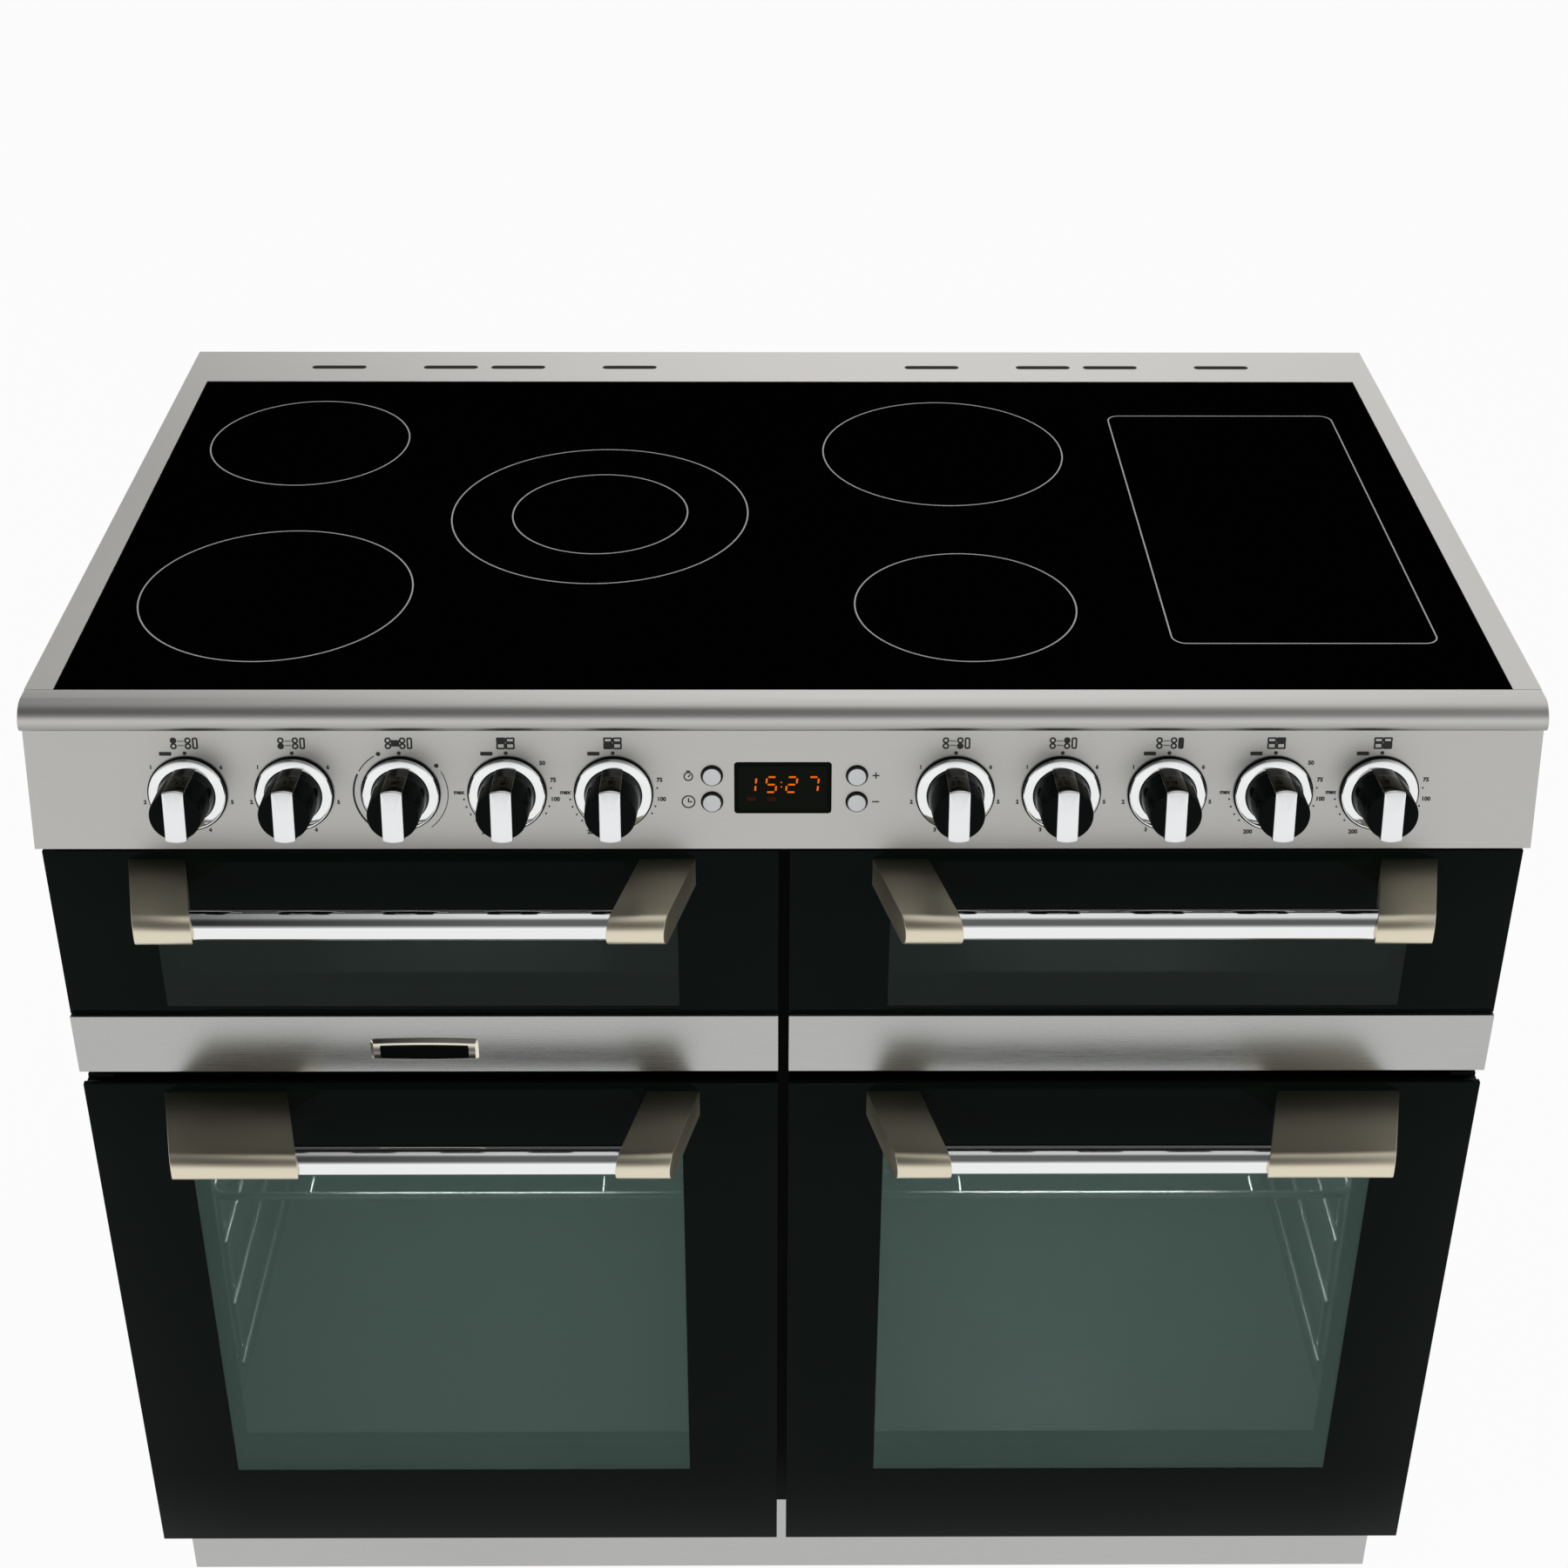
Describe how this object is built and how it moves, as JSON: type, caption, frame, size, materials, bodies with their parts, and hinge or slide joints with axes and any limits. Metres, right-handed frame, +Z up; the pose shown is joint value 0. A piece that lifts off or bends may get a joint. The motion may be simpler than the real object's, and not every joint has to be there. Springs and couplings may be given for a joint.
{
  "type": "range cooker",
  "caption": "Free-standing range cooker: ceramic hob above a leaning knob panel, drop-down upper oven doors and side-hung lower oven doors with bar handles.",
  "frame": {"origin": "on the floor, below the middle of the whole cooker, handles included", "axes": "+X to the right as seen from the front, +Y to the back, +Z up"},
  "size_m": [1, 0.664, 0.9],
  "materials": {
    "stainless": "fine brushed stainless steel",
    "rail_steel": "satin stainless steel",
    "hob_glass": "polished black ceramic glass, opaque",
    "dark_steel": "dark grey stove enamel",
    "frame_black": "black stove enamel",
    "galvanised": "galvanised sheet steel",
    "enamel": "speckled grey vitreous enamel",
    "insulation": "pressed mineral insulation dish with metal ribbons",
    "switch_plastic": "moulded switch plastic",
    "display": "black display lens",
    "door_glass": "black-printed toughened glass with a tinted window",
    "inner_glass": "clear heat-resisting glass",
    "handle_metal": "chrome bar in satin nickel brackets",
    "knob_finish": "chrome ring, black gloss barrel and silver grip",
    "button_silver": "satin silver",
    "wire_chrome": "bright chromed wire",
    "element_steel": "heat-dulled steel",
    "seal_rubber": "matt silicone",
    "hinge_steel": "zinc-plated steel",
    "foot_plastic": "black plastic pad on a steel stud",
    "terminal_plastic": "black terminal housing"
  },
  "bodies": {
    "cabinet": {"hob_surround": "stainless", "hob_front_rail": "rail_steel", "hob_glass": "hob_glass", "radiant_elements": "insulation", "hob_tray": "galvanised", "control_panel": "stainless", "clock_module": "display", "control_switches": "switch_plastic", "side_panels": "dark_steel", "back_panel": "galvanised", "base_pan": "galvanised", "plinth": "stainless", "levelling_feet": "foot_plastic", "front_frame": "frame_black", "oven_cavities": "enamel", "shelf_runners": "wire_chrome", "fan_covers": "enamel", "fan_motors": "galvanised", "oven_elements": "element_steel", "door_seals": "seal_rubber", "door_hinge_brackets": "hinge_steel", "terminal_box": "terminal_plastic"},
    "hob_knob_rear_left": {"hob_knob_rear_left": "knob_finish"},
    "hob_knob_front_left": {"hob_knob_front_left": "knob_finish"},
    "hob_knob_dual": {"hob_knob_dual": "knob_finish"},
    "oven_knob_upper_left": {"oven_knob_upper_left": "knob_finish"},
    "oven_knob_lower_left": {"oven_knob_lower_left": "knob_finish"},
    "hob_knob_front_right": {"hob_knob_front_right": "knob_finish"},
    "hob_knob_rear_right": {"hob_knob_rear_right": "knob_finish"},
    "hob_knob_rectangle": {"hob_knob_rectangle": "knob_finish"},
    "oven_knob_upper_right": {"oven_knob_upper_right": "knob_finish"},
    "oven_knob_lower_right": {"oven_knob_lower_right": "knob_finish"},
    "button_timer": {"button_timer": "button_silver"},
    "button_clock": {"button_clock": "button_silver"},
    "button_plus": {"button_plus": "button_silver"},
    "button_minus": {"button_minus": "button_silver"},
    "upper_left_shelf": {"upper_left_shelf": "wire_chrome"},
    "lower_left_shelf": {"lower_left_shelf": "wire_chrome"},
    "left_fan_impeller": {"left_fan_impeller": "galvanised"},
    "upper_left_door": {"upper_left_door_glass": "door_glass", "upper_left_door_trim": "stainless", "upper_left_door_liner": "frame_black", "upper_left_door_inner_glass": "inner_glass", "upper_left_door_handle": "handle_metal"},
    "lower_left_door": {"lower_left_door_glass": "door_glass", "lower_left_door_liner": "frame_black", "lower_left_door_inner_glass": "inner_glass", "lower_left_door_handle": "handle_metal"},
    "upper_right_shelf": {"upper_right_shelf": "wire_chrome"},
    "lower_right_shelf": {"lower_right_shelf": "wire_chrome"},
    "right_fan_impeller": {"right_fan_impeller": "galvanised"},
    "upper_right_door": {"upper_right_door_glass": "door_glass", "upper_right_door_trim": "stainless", "upper_right_door_liner": "frame_black", "upper_right_door_inner_glass": "inner_glass", "upper_right_door_handle": "handle_metal"},
    "lower_right_door": {"lower_right_door_glass": "door_glass", "lower_right_door_liner": "frame_black", "lower_right_door_inner_glass": "inner_glass", "lower_right_door_handle": "handle_metal"}
  },
  "joints": [
    {"name": "hob_knob_rear_left_turn", "type": "hinge", "parent": "cabinet", "child": "hob_knob_rear_left", "pos_m": [-0.3948, -0.25527, 0.83457], "axis": [0, 0.9845, -0.1752], "range_deg": [0, 308.6]},
    {"name": "hob_knob_front_left_turn", "type": "hinge", "parent": "cabinet", "child": "hob_knob_front_left", "pos_m": [-0.3244, -0.25527, 0.83457], "axis": [0, 0.9845, -0.1752], "range_deg": [0, 308.6]},
    {"name": "hob_knob_dual_turn", "type": "hinge", "parent": "cabinet", "child": "hob_knob_dual", "pos_m": [-0.254, -0.25527, 0.83457], "axis": [0, 0.9845, -0.1752], "range_deg": [0, 308.6]},
    {"name": "oven_knob_upper_left_turn", "type": "hinge", "parent": "cabinet", "child": "oven_knob_upper_left", "pos_m": [-0.1836, -0.25527, 0.83457], "axis": [0, 0.9845, -0.1752], "range_deg": [0, 280]},
    {"name": "oven_knob_lower_left_turn", "type": "hinge", "parent": "cabinet", "child": "oven_knob_lower_left", "pos_m": [-0.1132, -0.25527, 0.83457], "axis": [0, 0.9845, -0.1752], "range_deg": [0, 280]},
    {"name": "hob_knob_front_right_turn", "type": "hinge", "parent": "cabinet", "child": "hob_knob_front_right", "pos_m": [0.1132, -0.25527, 0.83457], "axis": [0, 0.9845, -0.1752], "range_deg": [0, 308.6]},
    {"name": "hob_knob_rear_right_turn", "type": "hinge", "parent": "cabinet", "child": "hob_knob_rear_right", "pos_m": [0.1836, -0.25527, 0.83457], "axis": [0, 0.9845, -0.1752], "range_deg": [0, 308.6]},
    {"name": "hob_knob_rectangle_turn", "type": "hinge", "parent": "cabinet", "child": "hob_knob_rectangle", "pos_m": [0.254, -0.25527, 0.83457], "axis": [0, 0.9845, -0.1752], "range_deg": [0, 308.6]},
    {"name": "oven_knob_upper_right_turn", "type": "hinge", "parent": "cabinet", "child": "oven_knob_upper_right", "pos_m": [0.3244, -0.25527, 0.83457], "axis": [0, 0.9845, -0.1752], "range_deg": [0, 280]},
    {"name": "oven_knob_lower_right_turn", "type": "hinge", "parent": "cabinet", "child": "oven_knob_lower_right", "pos_m": [0.3948, -0.25527, 0.83457], "axis": [0, 0.9845, -0.1752], "range_deg": [0, 280]},
    {"name": "button_timer_press", "type": "slide", "parent": "cabinet", "child": "button_timer", "axis": [0, 0.9845, -0.1752], "range_m": [0, 0.002], "stiffness_N_per_m": 150},
    {"name": "button_clock_press", "type": "slide", "parent": "cabinet", "child": "button_clock", "axis": [0, 0.9845, -0.1752], "range_m": [0, 0.002], "stiffness_N_per_m": 150},
    {"name": "button_plus_press", "type": "slide", "parent": "cabinet", "child": "button_plus", "axis": [0, 0.9845, -0.1752], "range_m": [0, 0.002], "stiffness_N_per_m": 150},
    {"name": "button_minus_press", "type": "slide", "parent": "cabinet", "child": "button_minus", "axis": [0, 0.9845, -0.1752], "range_m": [0, 0.002], "stiffness_N_per_m": 150},
    {"name": "upper_left_shelf_slide", "type": "slide", "parent": "cabinet", "child": "upper_left_shelf", "axis": [0, -1, 0], "range_m": [0, 0.02]},
    {"name": "lower_left_shelf_slide", "type": "slide", "parent": "cabinet", "child": "lower_left_shelf", "axis": [0, -1, 0], "range_m": [0, 0.02]},
    {"name": "left_fan_spin", "type": "hinge", "parent": "cabinet", "child": "left_fan_impeller", "pos_m": [-0.2503, 0.19095, 0.355], "axis": [0, 1, 0], "continuous": true},
    {"name": "upper_left_door_hinge", "type": "hinge", "parent": "cabinet", "child": "upper_left_door", "pos_m": [-0.2503, -0.24905, 0.6116], "axis": [1, 0, 0], "range_deg": [0, 90]},
    {"name": "lower_left_door_hinge", "type": "hinge", "parent": "cabinet", "child": "lower_left_door", "pos_m": [-0.485, -0.24705, 0.355], "axis": [0, 0, -1], "range_deg": [0, 100]},
    {"name": "upper_right_shelf_slide", "type": "slide", "parent": "cabinet", "child": "upper_right_shelf", "axis": [0, -1, 0], "range_m": [0, 0.02]},
    {"name": "lower_right_shelf_slide", "type": "slide", "parent": "cabinet", "child": "lower_right_shelf", "axis": [0, -1, 0], "range_m": [0, 0.02]},
    {"name": "right_fan_spin", "type": "hinge", "parent": "cabinet", "child": "right_fan_impeller", "pos_m": [0.2503, 0.19095, 0.355], "axis": [0, 1, 0], "continuous": true},
    {"name": "upper_right_door_hinge", "type": "hinge", "parent": "cabinet", "child": "upper_right_door", "pos_m": [0.2503, -0.24905, 0.6116], "axis": [1, 0, 0], "range_deg": [0, 90]},
    {"name": "lower_right_door_hinge", "type": "hinge", "parent": "cabinet", "child": "lower_right_door", "pos_m": [0.485, -0.24705, 0.355], "axis": [0, 0, 1], "range_deg": [0, 100]}
  ]
}
